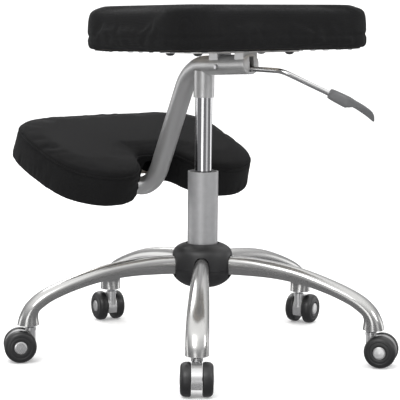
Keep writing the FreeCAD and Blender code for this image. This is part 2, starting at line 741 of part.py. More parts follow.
seat_spots = corners(size("seat_bolt_x"), size("seat_bolt_y"), size("plate_centre"))
inset = size("board_inset")
seat_board = slab("seat_ply", rounded_rectangle(
    size("seat_width") - 2 * inset, size("seat_length") - 2 * inset, size("seat_corner") - inset,
    size("seat_centre")), BOARD, SEAT)
node(holed("seat_board", seat_board, seat_spots, "sizes.bolt_radius", SEAT, -1, 11), "seat_board")

cushion = slab("seat_foam", rounded_rectangle(
    size("seat_width"), size("seat_length"), size("seat_corner"), size("seat_centre")),
    "sizes.seat_thickness", SEAT)
cushion_top = size("seat_thickness")
round_edges(cushion, cushion.Tip, "sizes.edge_round",
            lambda edge: min(v.Z for v in edge.Vertexes) > cushion_top - 0.01)
board_room = draw(cushion, "seat_board_room", "XY_Plane", rounded_rectangle(
    size("seat_width") - 2 * inset, size("seat_length") - 2 * inset, size("seat_corner") - inset,
    size("seat_centre")))
pocket(cushion, board_room, BOARD, reverse=True)
node(cushion, "seat_cushion")

plate = slab("seat_steel", rounded_rectangle(
    size("plate_width"), size("plate_length"), 6, size("plate_centre")),
    "sizes.plate_thickness", SEAT * move(up=-size("plate_thickness")))
plate_low = -size("plate_thickness")
node(holed("seat_plate", plate, seat_spots, "sizes.bolt_radius + 0.3", SEAT, plate_low - 1, 8),
     "seat_plate")
node(group("seat_bolt_group", [
    bolt(f"seat_bolt_{i}", SEAT * move(x, y, plate_low), size("plate_thickness") + 9)
    for i, (x, y) in enumerate(seat_spots)]), "seat_bolts")

half_bracket = size("bracket_width") / 2
bracket_blocks = []
for name in ("bracket_front", "bracket_rear"):
    low_y = size(name)
    high_y = low_y + size("bracket_length")
    block = box(name, (-half_bracket, low_y, -22), (half_bracket, high_y, plate_low), SEAT)
    saddle = rod(name + "_saddle", "sizes.tube_radius", "260",
                 Placement(tube_point(-100), Rotation(Z_AXIS, ALONG_TUBE)))
    bracket_blocks.append(cut(name + "_cut", block, saddle))
node(group("brackets", bracket_blocks), "seat_brackets")


# ---- knee pad: its frame lies on its underside, +Y down towards the notch, -Y up to the front ----

KNEE = turn(X_AXIS, -size("knee_tilt"), NOTCH)
KNEE_HALF = (
    (60, 181), (115, 178), (163, 166), (194, 143), (207, 106), (209, 56), (205, 10), (194, -28),
    (172, -54), (140, -70), (104, -72), (72, -59), (51, -35), (41, -10),
)


def knee_outline(inward=0.0):
    """The closed kidney outline with its notch, from one half of it, moved inwards."""
    left = [(across, -ahead) for across, ahead in KNEE_HALF]
    right = [(-across, along) for across, along in reversed(left)]
    loop = [flat(p) for p in ((0, -182), *left, (31, 0), (0, 0), (-31, 0), *right)]
    curve = Part.BSplineCurve()
    curve.interpolate(loop, PeriodicFlag=True)
    if not inward:
        return curve
    moved = []
    for point in loop:
        along = Vector(*curve.tangent(curve.parameter(point))[0]).normalize()
        moved.append(point + Z_AXIS.cross(along) * inward)
    shrunk = Part.BSplineCurve()
    shrunk.interpolate(moved, PeriodicFlag=True)
    return shrunk


def knee_slot(name, height):
    """Room for the bend of the frame tube, through the notch's inner wall."""
    half = size("knee_slot_width") / 2
    return box(name, (-half, -size("knee_slot"), -1), (half, 20, height), KNEE)


plate_middle = size("knee_plate_start") + size("knee_plate_length") / 2
knee_spots = corners(size("knee_bolt_x"), size("knee_bolt_y"), -plate_middle)
ply_blank = slab("knee_ply_blank", [knee_outline(inset)], BOARD, KNEE)
ply = cut("knee_ply", ply_blank, knee_slot("knee_ply_slot", 30))
node(holed("knee_board", ply, knee_spots, "sizes.bolt_radius", KNEE, -1, 11), "knee_board")

foam = slab("knee_foam", [knee_outline()], "sizes.knee_thickness", KNEE)
foam_top = size("knee_thickness")
round_edges(foam, foam.Tip, "sizes.edge_round",
            lambda edge: min(v.Z for v in edge.Vertexes) > foam_top - 0.01)
board_room = draw(foam, "knee_board_room", "XY_Plane", [knee_outline(inset)])
pocket(foam, board_room, BOARD, reverse=True)
node(cut("knee_foam_cut", foam, knee_slot("knee_foam_slot", size("knee_slot_height"))), "knee_cushion")

steel = size("knee_plate_thickness")
knee_steel = slab("knee_steel", rounded_rectangle(
    size("knee_plate_width"), size("knee_plate_length"), 6, -plate_middle),
    "sizes.knee_plate_thickness", KNEE * move(up=-steel))
node(holed("knee_plate", knee_steel, knee_spots, "sizes.bolt_radius + 0.3", KNEE, -steel - 1, 8),
     "knee_plate")
node(group("knee_bolt_group", [
    bolt(f"knee_bolt_{i}", KNEE * move(x, y, -steel), steel + 9)
    for i, (x, y) in enumerate(knee_spots)]), "knee_bolts")


# ---- check and write -------------------------------------------------------------------------

doc.recompute()
for thing in doc.Objects:
    if "Invalid" in thing.State or "Error" in thing.State:
        raise SystemExit(f"{thing.Name} failed: {thing.State}")
os.makedirs("parts", exist_ok=True)
for thing in NODES:
    shape = thing.Shape
    if shape.isNull() or not shape.isValid() or not shape.Solids:
        raise SystemExit(f"{thing.Label} has no valid solid")
for thing in NODES:
    thing.Shape.exportStep(f"parts/{thing.Label}.step")
print(len(NODES), "nodes written")
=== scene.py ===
import json
import math

import bmesh
import bpy
from mathutils import Matrix, Vector, noise
from mathutils.bvhtree import BVHTree


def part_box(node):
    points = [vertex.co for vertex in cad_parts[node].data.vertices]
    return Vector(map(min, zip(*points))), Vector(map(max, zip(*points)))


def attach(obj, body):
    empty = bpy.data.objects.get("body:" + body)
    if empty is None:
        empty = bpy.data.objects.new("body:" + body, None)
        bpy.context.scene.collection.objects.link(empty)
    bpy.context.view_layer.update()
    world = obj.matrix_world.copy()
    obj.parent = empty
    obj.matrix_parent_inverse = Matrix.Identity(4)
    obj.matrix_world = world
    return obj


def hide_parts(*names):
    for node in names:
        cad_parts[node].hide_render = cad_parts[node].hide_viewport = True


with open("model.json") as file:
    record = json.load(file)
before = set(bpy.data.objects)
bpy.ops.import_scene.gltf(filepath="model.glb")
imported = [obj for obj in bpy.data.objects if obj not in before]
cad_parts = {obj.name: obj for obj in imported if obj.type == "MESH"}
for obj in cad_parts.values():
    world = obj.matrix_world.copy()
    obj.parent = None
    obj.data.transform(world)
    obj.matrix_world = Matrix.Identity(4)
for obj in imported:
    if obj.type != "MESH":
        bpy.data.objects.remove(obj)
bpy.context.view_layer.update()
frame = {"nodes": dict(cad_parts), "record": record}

RECORD = frame["record"]
JOINTS = {joint["name"]: joint for joint in RECORD["behaviour"]["joints"]}
MOUNTS = {mount["name"]: mount for mount in RECORD["mounts"]}
MM = 0.001
LEGS = 5
X = Vector((1, 0, 0))
Z = Vector((0, 0, 1))


# ---- camera ----------------------------------------------------------------------------------

def make_camera():
    """The photograph's viewpoint: low, behind and to the left of the sitter, through a long lens."""
    azimuth = math.radians(38.0)
    pitch = math.radians(7.48)
    roll = math.radians(0.53)
    yaw = math.radians(0.105)
    distance = 2.6
    height = 0.5945
    towards = Vector((math.sin(azimuth), math.cos(azimuth), 0))
    side = Vector((-math.cos(azimuth), math.sin(azimuth), 0))
    right = side * math.cos(yaw) - towards * math.sin(yaw)
    back = side * math.sin(yaw) + towards * math.cos(yaw)
    up = Z * math.cos(pitch) - back * math.sin(pitch)
    back = back * math.cos(pitch) + Z * math.sin(pitch)
    level_right = right
    right = level_right * math.cos(roll) + up * math.sin(roll)
    up = up * math.cos(roll) - level_right * math.sin(roll)
    data = bpy.data.cameras.new("camera")
    data.sensor_width = 36.0
    data.lens = 143.2
    data.clip_start = 0.1
    data.clip_end = 500.0
    camera = bpy.data.objects.new("camera", data)
    bpy.context.scene.collection.objects.link(camera)
    place = Matrix((right, up, back)).transposed().to_4x4()
    place.translation = towards * distance + Z * height
    camera.matrix_world = place
    bpy.context.scene.camera = camera


make_camera()
bpy.context.scene.view_settings.view_transform = "Standard"


# ---- node materials --------------------------------------------------------------------------

class Nodes:
    """A new material with a Principled surface, and short ways to add nodes to it."""

    def __init__(self, name):
        self.material = bpy.data.materials.new(name)
        self.material.use_nodes = True
        self.tree = self.material.node_tree
        self.surface = self.tree.nodes["Principled BSDF"]
        self.place = self.tree.nodes.new("ShaderNodeTexCoord").outputs["Object"]

    def set(self, **values):
        for key, value in values.items():
            self.surface.inputs[key.replace("_", " ")].default_value = value
        return self

    def add(self, kind, inputs=None, **settings):
        node = self.tree.nodes.new("ShaderNode" + kind)
        for key, value in settings.items():
            setattr(node, key, value)
        for key, value in (inputs or {}).items():
            if hasattr(value, "links"):
                self.tree.links.new(value, node.inputs[key])
            else:
                node.inputs[key].default_value = value
        return node

    def link(self, output, socket):
        self.tree.links.new(output, self.surface.inputs[socket])

    def noise(self, scale, detail=3.0, stretch=None):
        vector = self.place
        if stretch:
            vector = self.add("Mapping", {"Vector": self.place, "Scale": stretch}).outputs["Vector"]
        inputs = {"Vector": vector, "Scale": scale, "Detail": detail}
        return self.add("TexNoise", inputs).outputs["Fac"]

    def remap(self, value, low, high):
        inputs = {"Value": value, "From Min": 0.3, "From Max": 0.7, "To Min": low, "To Max": high}
        return self.add("MapRange", inputs).outputs["Result"]

    def math(self, operation, first, second=0.0):
        return self.add("Math", {0: first, 1: second}, operation=operation).outputs[0]

    def blend(self, factor, first, second):
        ramp = self.add("Mix", data_type="RGBA")
        ramp.inputs[6].default_value = (*first, 1)
        ramp.inputs[7].default_value = (*second, 1)
        self.tree.links.new(factor, ramp.inputs[0])
        return ramp.outputs[2]

    def bump(self, height, strength, distance):
        inputs = {"Height": height, "Strength": strength, "Distance": distance}
        self.link(self.add("Bump", inputs).outputs["Normal"], "Normal")


def edge_wear(nodes, amount=0.5):
    """0 on flats, up to 1 along outer edges, broken up by noise."""
    pointy = nodes.add("NewGeometry").outputs["Pointiness"]
    sharp = nodes.add("MapRange", {"Value": pointy, "From Min": 0.52, "From Max": 0.6}).outputs["Result"]
    patchy = nodes.remap(nodes.noise(90, 4), 0.0, amount)
    return nodes.math("MULTIPLY", sharp, patchy)


def metal_paint(name, shade, roughness, metallic, grain, coat=0.0):
    """Silver metallic coat: fine flake, slow unevenness and slightly brighter worn edges."""
    nodes = Nodes(name).set(Metallic=metallic, Coat_Weight=coat, Coat_Roughness=0.12)
    slow = nodes.noise(9, 3)
    worn = edge_wear(nodes)
    dark = tuple(c * 0.92 for c in shade)
    light = tuple(min(1.0, c * 1.12) for c in shade)
    spread = nodes.math("ADD", slow, worn)
    nodes.link(nodes.blend(spread, dark, light), "Base Color")
    nodes.link(nodes.remap(nodes.noise(12, 3), roughness * 0.93, roughness * 1.08), "Roughness")
    nodes.bump(nodes.noise(2600, 1), grain, 0.0002)
    return nodes.material


def polished(name, shade, roughness, stretch):
    """Bare metal with faint turning or drawing marks along one direction."""
    nodes = Nodes(name).set(Metallic=1.0)
    marks = nodes.noise(260, 3, stretch)
    dark = tuple(c * 0.9 for c in shade)
    nodes.link(nodes.blend(nodes.noise(25, 3), dark, shade), "Base Color")
    nodes.link(nodes.remap(marks, roughness * 0.7, roughness * 1.5), "Roughness")
    nodes.bump(marks, 0.05, 0.0003)
    return nodes.material


def plastic(name, shade, roughness, grain_scale=1500, grain=0.25, scuff=1.35):
    """Moulded plastic with a fine spark-eroded grain, soft scuffs and paler edges."""
    nodes = Nodes(name).set(Specular_IOR_Level=0.5)
    worn = edge_wear(nodes, 0.4)
    cloudy = nodes.math("ADD", nodes.math("MULTIPLY", nodes.noise(30, 4), 0.6), worn)
    light = tuple(c * scuff + 0.004 for c in shade)
    nodes.link(nodes.blend(cloudy, shade, light), "Base Color")
    nodes.link(nodes.remap(nodes.noise(55, 5), roughness * 0.85, roughness * 1.2), "Roughness")
    nodes.bump(nodes.noise(grain_scale, 2), grain, 0.0003)
    return nodes.material


def woven_fabric(name, shade):
    """Plain-weave upholstery cloth: crossing yarns, slubs, a soft nap and faint fading."""
    nodes = Nodes(name).set(Roughness=0.86, Sheen_Weight=0.035, Sheen_Roughness=0.4,
                            Sheen_Tint=(0.8, 0.8, 0.82, 1), Specular_IOR_Level=0.12)
    yarns = 2 * math.pi * 620
    bits = nodes.add("SeparateXYZ", {"Vector": nodes.place}).outputs
    wobble = nodes.math("MULTIPLY", nodes.noise(120, 2), 0.0012)
    waves = []
    for axis in ("X", "Y", "Z"):
        shifted = nodes.math("ADD", bits[axis], wobble)
        waves.append(nodes.math("SINE", nodes.math("MULTIPLY", shifted, yarns)))
    cross = nodes.math("MULTIPLY", waves[0], waves[1])
    upright = nodes.math("MULTIPLY", nodes.math("ADD", waves[0], waves[1]), waves[2])
    weave = nodes.math("ADD", cross, nodes.math("MULTIPLY", upright, 0.6))
    slubs = nodes.noise(420, 3, (1.0, 0.25, 1.0))
    height = nodes.math("ADD", nodes.math("MULTIPLY", weave, 0.5), slubs)
    pale = tuple(c * 2.1 + 0.004 for c in shade)
    cloudy = nodes.noise(14, 4)
    tone = nodes.math("ADD", nodes.math("MULTIPLY", height, 0.35), nodes.math("MULTIPLY", cloudy, 0.5))
    nodes.link(nodes.blend(tone, shade, pale), "Base Color")
    nodes.bump(height, 0.55, 0.0006)
    return nodes.material


def plywood(name):
    """Rotary-cut birch: long figure across the sheet, with darker streaks."""
    nodes = Nodes(name).set(Roughness=0.7)
    figure = nodes.noise(16, 6, (1.0, 9.0, 1.0))
    streak = nodes.noise(70, 4, (1.0, 14.0, 1.0))
    grain = nodes.math("ADD", nodes.math("MULTIPLY", figure, 0.7), nodes.math("MULTIPLY", streak, 0.5))
    nodes.link(nodes.blend(grain, (0.22, 0.19, 0.155), (0.40, 0.36, 0.31)), "Base Color")
    nodes.bump(streak, 0.3, 0.0005)
    return nodes.material


LEG_SILVER = metal_paint("leg_silver", (0.47, 0.468, 0.46), 0.24, 0.95, 0.012, 0.25)
FRAME_SILVER = metal_paint("frame_silver", (0.50, 0.50, 0.50), 0.38, 0.75, 0.03)
COLUMN_SILVER = metal_paint("column_silver", (0.40, 0.40, 0.405), 0.5, 0.75, 0.05)
CHROME = polished("chrome", (0.62, 0.62, 0.63), 0.13, (1.0, 1.0, 8.0))
STEEL = polished("turned_steel", (0.52, 0.52, 0.53), 0.3, (1.0, 1.0, 12.0))
LEVER_STEEL = polished("drawn_steel", (0.66, 0.66, 0.66), 0.24, (10.0, 0.6, 10.0))
CAP_SILVER = metal_paint("cap_silver", (0.5, 0.5, 0.5), 0.34, 0.6, 0.03)
CASTER_SILVER = metal_paint("caster_silver", (0.50, 0.50, 0.50), 0.28, 0.75, 0.02, 0.3)
COVER_BLACK = plastic("cover_black", (0.009, 0.009, 0.0095), 0.44, 1500, 0.12)
WHEEL_BLACK = plastic("wheel_black", (0.010, 0.010, 0.0105), 0.38, 900, 0.08)
HANDLE_GREY = plastic("handle_grey", (0.075, 0.076, 0.078), 0.42)
BOLT_BLACK = plastic("bolt_black", (0.016, 0.016, 0.016), 0.3, 700, 0.1)
FABRIC = woven_fabric("black_weave", (0.0036, 0.0036, 0.0038))
PLYWOOD = plywood("birch_plywood")


# ---- mesh making -----------------------------------------------------------------------------

def finish_piece(piece, body, material, node=None):
    """Give a new piece its body and material, and hide the CAD node it stands for."""
    piece.data.materials.clear()
    piece.data.materials.append(material)
    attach(piece, body)
    if node:
        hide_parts(*([node] if isinstance(node, str) else node))
    return piece


def from_bmesh(name, mesh, sharp=35.0):
    bmesh.ops.recalc_face_normals(mesh, faces=mesh.faces)
    data = bpy.data.meshes.new(name)
    mesh.to_mesh(data)
    mesh.free()
    for polygon in data.polygons:
        polygon.use_smooth = True
    data.set_sharp_from_angle(angle=math.radians(sharp))
    piece = bpy.data.objects.new(name, data)
    bpy.context.scene.collection.objects.link(piece)
    return piece


def skin(name, rings, closed_rings=True, closed_path=False, caps=True, sharp=35.0):
    """A surface through rings of points: each ring joins the next."""
    mesh = bmesh.new()
    made = [[mesh.verts.new(p) for p in ring] for ring in rings]
    count = len(made[0])
    pairs = list(zip(made, made[1:]))
    if closed_path:
        pairs.append((made[-1], made[0]))
    spans = count if closed_rings else count - 1
    for one, two in pairs:
        for i in range(spans):
            j = (i + 1) % count
            mesh.faces.new((one[i], one[j], two[j], two[i]))
    if caps and closed_rings and not closed_path:
        mesh.faces.new(list(reversed(made[0])))
        mesh.faces.new(made[-1])
    bmesh.ops.remove_doubles(mesh, verts=mesh.verts, dist=1e-6)
    return from_bmesh(name, mesh, sharp)


def joined(name, pieces):
    """One object from several meshes that already share a frame."""
    mesh = bmesh.new()
    for piece in pieces:
        piece.data.transform(piece.matrix_world)
        mesh.from_mesh(piece.data)
        data = piece.data
        bpy.data.objects.remove(piece)
        bpy.data.meshes.remove(data)
    return from_bmesh(name, mesh)


def lathe(name, profile, place=Matrix(), steps=72, sharp=35.0):
    """Turn corners given as (radius, height) about the local Z axis."""
    rings = []
    for step in range(steps):
        angle = 2 * math.pi * step / steps
        rings.append([place @ Vector((r * math.cos(angle), r * math.sin(angle), h)) for r, h in profile])
    return skin(name, rings, closed_rings=True, closed_path=True, sharp=sharp)


def rounded(points, radius, steps=4):
    """A closed outline whose corners are eased by the radius."""
    eased = []
    count = len(points)
    for i in range(count):
        corner = Vector(points[i])
        back = Vector(points[i - 1]) - corner
        ahead = Vector(points[(i + 1) % count]) - corner
        reach = min(radius, back.length * 0.45, ahead.length * 0.45)
        first = corner + back.normalized() * reach
        last = corner + ahead.normalized() * reach
        for k in range(steps + 1):
            t = k / steps
            eased.append(first * (1 - t) ** 2 + corner * 2 * t * (1 - t) + last * t ** 2)
    return [tuple(p) for p in eased]


def curve_through(points, steps):
    """Catmull-Rom points through the given ones, steps per span."""
    found = []
    for i in range(len(points) - 1):
        before = points[max(i - 1, 0)]
        start, end = points[i], points[i + 1]
        after = points[min(i + 2, len(points) - 1)]
        for k in range(steps):
            t = k / steps
            found.append(0.5 * (2 * start + (end - before) * t
                                + (2 * before - 5 * start + 4 * end - after) * t ** 2
                                + (3 * start - before - 3 * end + after) * t ** 3))
    found.append(points[-1].copy())
    return found


def bent_path(points, radius, steps=16):
    """Straight runs joined by arcs of one radius, as a dense list of points."""
    found = [points[0]]
    for before, corner, after in zip(points, points[1:], points[2:]):
        back = (before - corner).normalized()
        ahead = (after - corner).normalized()
        half = back.angle(ahead) / 2
        centre = corner + (back + ahead).normalized() * (radius / math.sin(half))
        first = corner + back * (radius / math.tan(half))
        last = corner + ahead * (radius / math.tan(half))
        sweep = (first - centre).rotation_difference(last - centre)
        for k in range(steps + 1):
            part = sweep.copy()
            part.angle = sweep.angle * k / steps
            found.append(centre + part @ (first - centre))
    found.append(points[-1])
    return found


def pipe(name, path, radius, steps=48, closed=False, sharp=40.0, inner=0.0):
    """A round bar or tube along points; radius may be a number or one for each point."""
    count = len(path)
    radii = radius if isinstance(radius, list) else [radius] * count
    side = None
    rings = []
    inner_rings = []
    for i, point in enumerate(path):
        if closed:
            ahead = path[(i + 1) % count] - path[i - 1]
        else:
            ahead = path[min(i + 1, count - 1)] - path[max(i - 1, 0)]
        ahead.normalize()
        if side is None:
            side = ahead.orthogonal()
        side = (side - ahead * side.dot(ahead)).normalized()
        other = ahead.cross(side)
        spokes = [side * math.cos(a) + other * math.sin(a)
                  for a in (2 * math.pi * k / steps for k in range(steps))]
        rings.append([point + s * radii[i] for s in spokes])
        if inner:
            inner_rings.append([point + s * (radii[i] - inner) for s in spokes])
    if inner:
        return skin(name, rings + inner_rings[::-1], closed_path=True, sharp=sharp)
    return skin(name, rings, closed_path=closed, sharp=sharp)


def block_between(name, low, high):
    """A plain block, for cutting with."""
    mesh = bmesh.new()
    bmesh.ops.create_cube(mesh, size=1)
    for vertex in mesh.verts:
        vertex.co = Vector(h if c > 0 else l for c, l, h in zip(vertex.co, low, high))
    return from_bmesh(name, mesh)


def smoothstep(low, high, value):
    t = min(1.0, max(0.0, (value - low) / (high - low)))
    return t * t * (3 - 2 * t)


def mount_frame(name):
    """The frame of a flat mount: origin on the face, Z along its normal, X across the chair."""
    mount = MOUNTS[name]
    up = Vector(mount["axis"]).normalized()
    place = Matrix((X, up.cross(X), up)).transposed().to_4x4()
    place.translation = Vector(mount["pos_m"])
    return place


def rounded_rectangle(width, length, corner, steps=14):
    """Plan outline, counter-clockwise from the right-hand side."""
    found = []
    for quarter in range(4):
        turn = math.pi / 2 * quarter
        cx = (width / 2 - corner) * (1 if quarter in (0, 3) else -1)
        cy = (length / 2 - corner) * (1 if quarter in (0, 1) else -1)
        for k in range(steps + 1):
            angle = turn + math.pi / 2 * k / steps
            found.append(Vector((cx + corner * math.cos(angle), cy + corner * math.sin(angle), 0)))
    return found


def even_spacing(outline, step):
    """The closed outline again, with points the same distance apart."""
    lengths = [(b - a).length for a, b in zip(outline, outline[1:] + outline[:1])]
    total = sum(lengths)
    count = max(8, round(total / step))
    found = []
    index, passed = 0, 0.0
    for k in range(count):
        wanted = total * k / count
        while passed + lengths[index] < wanted:
            passed += lengths[index]
            index += 1
        part = (wanted - passed) / lengths[index]
        found.append(outline[index].lerp(outline[(index + 1) % len(outline)], part))
    return found


def moved_in(outline, inward):
    """The closed counter-clockwise outline moved inward along its normals."""
    found = []
    count = len(outline)
    for i, point in enumerate(outline):
        along = (outline[(i + 1) % count] - outline[i - 1]).normalized()
        found.append(point + Vector((-along.y, along.x, 0)) * inward)
    return found


def soft_form(name, outline, levels):
    """A closed form from one outline, stacked at (inward, height) levels from the bottom to the top."""
    rings = [[p + Z * height for p in moved_in(outline, inward)] for inward, height in levels]
    return skin(name, rings)


def applied(piece, kind, **settings):
    """Add one modifier and make its result the piece's mesh."""
    modifier = piece.modifiers.new(kind.lower(), kind)
    for key, value in settings.items():
        setattr(modifier, key, value)
    result = bpy.data.meshes.new_from_object(piece.evaluated_get(bpy.context.evaluated_depsgraph_get()))
    old = piece.data
    piece.modifiers.clear()
    piece.data = result
    bpy.data.meshes.remove(old)


def swell(piece, held, pressure, cap, slack):
    """Cloth over foam: pressure fills the cover out, and slack cloth gathers where it is held."""
    scene = bpy.context.scene
    group = piece.vertex_groups.new(name="held")
    for vertex in piece.data.vertices:
        group.add([vertex.index], held(vertex.co), "REPLACE")
    cloth = piece.modifiers.new("cloth", "CLOTH")
    settings = cloth.settings
    settings.quality = 5
    settings.mass = 0.35
    settings.use_pressure = True
    settings.uniform_pressure_force = pressure
    settings.vertex_group_mass = "held"
    settings.shrink_min = -slack
    settings.tension_stiffness = 25
    settings.compression_stiffness = 25
    settings.shear_stiffness = 12
    settings.bending_stiffness = 0.8
    settings.effector_weights.gravity = 0
    cloth.collision_settings.use_collision = False
    for number in range(1, 21):
        scene.frame_set(number)
    grown = piece.evaluated_get(bpy.context.evaluated_depsgraph_get()).data
    places = []
    for before, after in zip(piece.data.vertices, grown.vertices):
        move = after.co - before.co
        if move.length > cap:
            move *= cap / move.length
        places.append(before.co + move)
    piece.modifiers.clear()
    piece.vertex_groups.clear()
    for vertex, place in zip(piece.data.vertices, places):
        vertex.co = place
    scene.frame_set(1)


def sculpt(piece, push):
    """Move every point along its normal by push(point, normal), in metres."""
    mesh = piece.data
    normals = [v.normal.copy() for v in mesh.vertices]
    for vertex, normal in zip(mesh.vertices, normals):
        vertex.co += normal * push(vertex.co, normal)
    mesh.update()


def bump_at(value, centre, width):
    return math.exp(-((value - centre) / width) ** 2)


def surface_tree(piece):
    mesh = bmesh.new()
    mesh.from_mesh(piece.data)
    tree = BVHTree.FromBMesh(mesh)
    mesh.free()
    return tree


def around(tree, outline, height, sink):
    """Points on the cushion's side at one height, found by looking in from outside the outline."""
    found = []
    outside = moved_in(outline, -30 * MM)
    for point, start in zip(outline, outside):
        direction = point - start
        direction.normalize()
        hit = tree.ray_cast(start + Z * height, direction, 80 * MM)[0]
        if hit:
            found.append(hit + direction * sink)
    return found


def cushion(name, outline, levels, held, shape, pressure, cap, slack, voxel, cutter=None):
    """A padded piece in its mount's frame: form, even mesh, cloth, one subdivision, then creases."""
    piece = soft_form(name, outline, levels)
    if cutter:
        applied(piece, "BOOLEAN", object=cutter, operation="DIFFERENCE", solver="EXACT")
        bpy.data.objects.remove(cutter)
    applied(piece, "REMESH", mode="VOXEL", voxel_size=voxel, use_smooth_shade=True)
    applied(piece, "SMOOTH", factor=0.5, iterations=4)
    swell(piece, held, pressure, cap, slack)
    applied(piece, "SUBSURF", levels=1)
    sculpt(piece, shape)
    for polygon in piece.data.polygons:
        polygon.use_smooth = True
    return piece


# ---- seat cushion ----------------------------------------------------------------------------

SEAT = mount_frame("seat_top")
seat_low, seat_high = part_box("seat_cushion")
SEAT_WIDTH = seat_high.x - seat_low.x
SEAT_LENGTH = 294 * MM
SEAT_DEEP = 69 * MM
seat_outline = even_spacing(rounded_rectangle(SEAT_WIDTH, SEAT_LENGTH, 60 * MM), 5 * MM)
SEAT_CREASE = -47 * MM


def seat_held(point):
    return 1.0 if point.z < -SEAT_DEEP + 5 * MM else 0.0


def seat_shape(point, normal):
    """The crease in the lower third, with small upright gathers under it, strongest at the corners."""
    side = 1 - abs(normal.z)
    edge = Vector((point.x / SEAT_WIDTH, point.y / SEAT_LENGTH, 0))
    corner = smoothstep(0.52, 0.66, edge.length)
    wander = 3 * MM * noise.noise(point * 9)
    crease = bump_at(point.z, SEAT_CREASE + wander, 3.2 * MM) * (0.7 + 0.7 * corner)
    low = smoothstep(-30 * MM, -60 * MM, point.z)
    folds = noise.noise(Vector((point.x * 95, point.y * 95, point.z * 14)))
    soft = noise.noise(point * 16) * 0.9 * MM
    return side * (soft - crease * 1.7 * MM + folds * low * (0.5 + 1.2 * corner) * MM)


seat = cushion(
    "SeatCushion", seat_outline,
    ((18 * MM, -SEAT_DEEP + 4 * MM), (14 * MM, -SEAT_DEEP + 0.2 * MM), (7 * MM, -SEAT_DEEP + 0.6 * MM),
     (2.5 * MM, -63 * MM), (2 * MM, -50 * MM),
     (2 * MM, -34 * MM), (2.5 * MM, -18 * MM), (4.5 * MM, -10 * MM), (10 * MM, -5.5 * MM),
     (22 * MM, -3.8 * MM), (60 * MM, -3 * MM)),
    seat_held, seat_shape, 4.0, 4 * MM, 0.008, 5 * MM)
seat.data.transform(SEAT)
finish_piece(seat, "upper", FABRIC, "seat_cushion")


# ---- knee cushion ----------------------------------------------------------------------------

KNEE = mount_frame("knee_top")
KNEE_DEEP = 65 * MM
KNEE_FORWARD = 90
KNEE_HALF = ((60, 181), (115, 178), (163, 166), (194, 143), (207, 106), (209, 56), (205, 10), (194, -28),
             (172, -54), (140, -70), (104, -72), (72, -59), (51, -35), (41, -10))
KNEE_SLOT_WIDTH = 36 * MM
KNEE_SLOT_DEEP = 40 * MM
KNEE_SLOT_HIGH = 39 * MM


def knee_point(across, ahead):
    return Vector((across * MM, (KNEE_FORWARD - ahead) * MM, 0))


def knee_outline():
    """Front middle, down the user's right side, round the notch and back up the left side."""
    half = KNEE_HALF + ((31, 0),)
    right = [knee_point(-x, a) for x, a in half]
    left = [knee_point(x, a) for x, a in reversed(half)]
    loop = [knee_point(0, 182)] + right + [knee_point(0, 0)] + left + [knee_point(0, 182)]
    return even_spacing(curve_through(loop, 6)[:-1], 4 * MM)


knee_edge = knee_outline()
turned = sum(a.x * b.y - b.x * a.y for a, b in zip(knee_edge, knee_edge[1:] + knee_edge[:1]))
if turned < 0:
    knee_edge.reverse()
KNEE_SEAM = -14 * MM


def in_slot(point, room):
    """Whether a point is within room of the slot that the frame tube's bend needs."""
    return (abs(point.x) < KNEE_SLOT_WIDTH / 2 + room and point.z < KNEE_SLOT_HIGH - KNEE_DEEP + room
            and point.y > KNEE_FORWARD * MM - KNEE_SLOT_DEEP - room)


def knee_held(point):
    if point.z < -KNEE_DEEP + 5 * MM or in_slot(point, 3 * MM):
        return 1.0
    return 0.55 * bump_at(point.z, KNEE_SEAM, 3 * MM)


def knee_shape(point, normal):
    """Boxing that flares and gathers at its foot, a pull along the seam, and creases at the notch."""
    if in_slot(point, 4 * MM):
        return 0.0
    side = 1 - abs(normal.z)
    low = smoothstep(-28 * MM, -62 * MM, point.z)
    folds = noise.noise(Vector((point.x * 110, point.y * 110, point.z * 10)))
    fine = noise.noise(Vector((point.x * 230, point.y * 230, point.z * 30 + 5)))
    soft = noise.noise(point * 14) * 1.2 * MM
    seam = bump_at(point.z, KNEE_SEAM, 2.6 * MM) * 1.4 * MM
    notch = bump_at(abs(point.x), 58 * MM, 22 * MM) * bump_at(point.y, 140 * MM, 26 * MM)
    lines = math.sin(point.z * 2 * math.pi / (15 * MM) + abs(point.x) * 26) * notch * 1.5 * MM
    return side * (soft - seam + (folds * 1.7 + fine * 0.7) * low * MM + lines)


slot_tool = block_between(
    "slot_tool", (-KNEE_SLOT_WIDTH / 2, KNEE_FORWARD * MM - KNEE_SLOT_DEEP, -KNEE_DEEP - 5 * MM),
    (KNEE_SLOT_WIDTH / 2, KNEE_FORWARD * MM + 30 * MM, KNEE_SLOT_HIGH - KNEE_DEEP))
knee = cushion(
    "KneeCushion", knee_edge,
    ((14 * MM, -KNEE_DEEP + 4 * MM), (10 * MM, -KNEE_DEEP + 0.2 * MM), (3 * MM, -KNEE_DEEP + 0.8 * MM),
     (1 * MM, -60 * MM), (2 * MM, -46 * MM),
     (3.5 * MM, -30 * MM), (4 * MM, -16 * MM), (6 * MM, -10 * MM), (11 * MM, -5.5 * MM),
     (24 * MM, -3.4 * MM)),
    knee_held, knee_shape, 4.0, 5 * MM, 0.01, 4.5 * MM, slot_tool)
knee_tree = surface_tree(knee)
welt_path = around(knee_tree, knee_edge, KNEE_SEAM, -0.4 * MM)
welt = pipe("KneeWelt", even_spacing(welt_path, 3 * MM), 1.9 * MM, steps=12, closed=True)
for soft in (knee, welt):
    soft.data.transform(KNEE)
finish_piece(knee, "upper", FABRIC, "knee_cushion")
finish_piece(welt, "upper", FABRIC)


# ---- covers turned in under the boards -------------------------------------------------------

